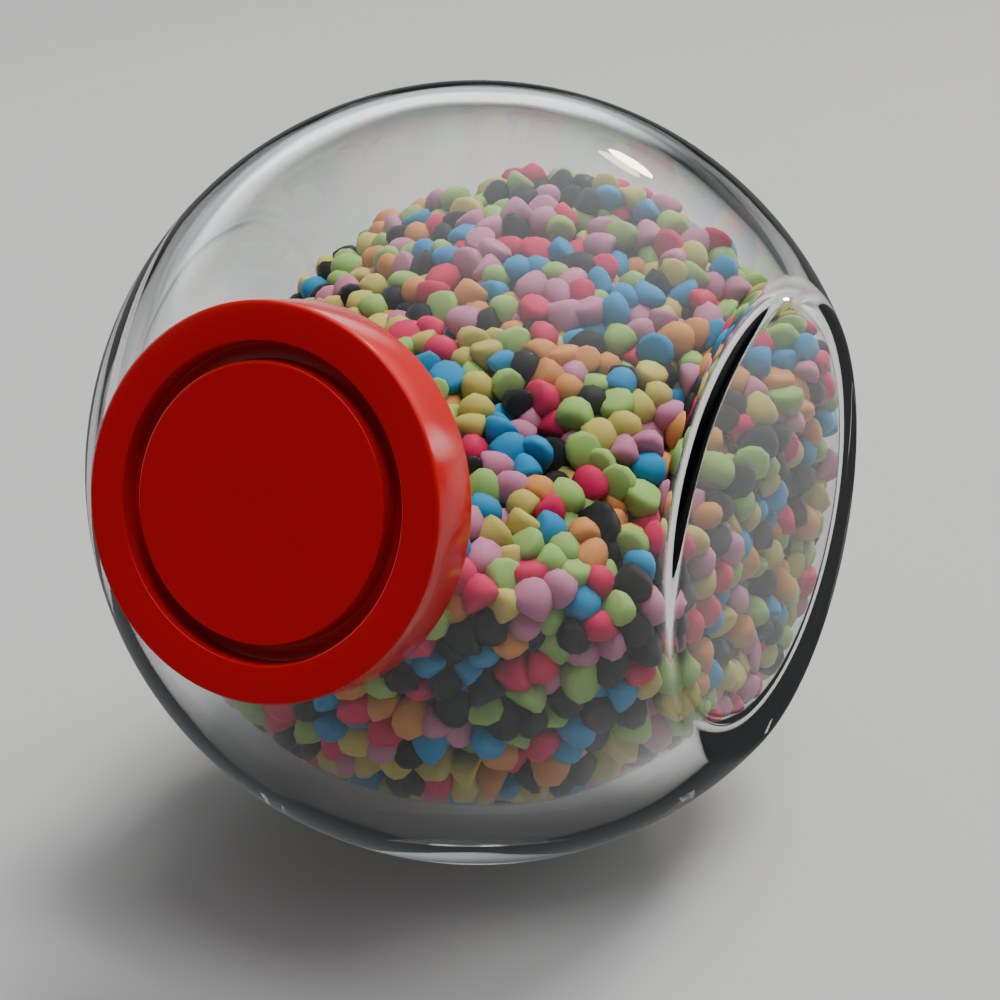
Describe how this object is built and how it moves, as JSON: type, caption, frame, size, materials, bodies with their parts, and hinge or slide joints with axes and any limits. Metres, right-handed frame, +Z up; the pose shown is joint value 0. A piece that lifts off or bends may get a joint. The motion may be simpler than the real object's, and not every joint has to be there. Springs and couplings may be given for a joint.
{
  "type": "jar of jelly beans",
  "caption": "Round-bellied glass jar with two flat sides and a tilted mouth, closed by a red grooved lid and nearly full of small coloured sweets.",
  "frame": {"origin": "centre of the small flat spot under the jar, on the surface it stands on", "axes": "+Z up; -Y towards the mouth and lid; X across the jar, square to its two flat sides"},
  "size_m": [0.1228, 0.1619, 0.1458],
  "materials": {
    "glass": "clear, polished, thick-walled",
    "lid_plastic": "glossy moulded red",
    "sweets": "satin sugar shell in pink, raspberry, blue, green, cream, orange and black"
  },
  "bodies": {
    "root": {"jar_glass": "glass", "lid": "lid_plastic", "sweets_heap": "sweets"}
  },
  "joints": []
}
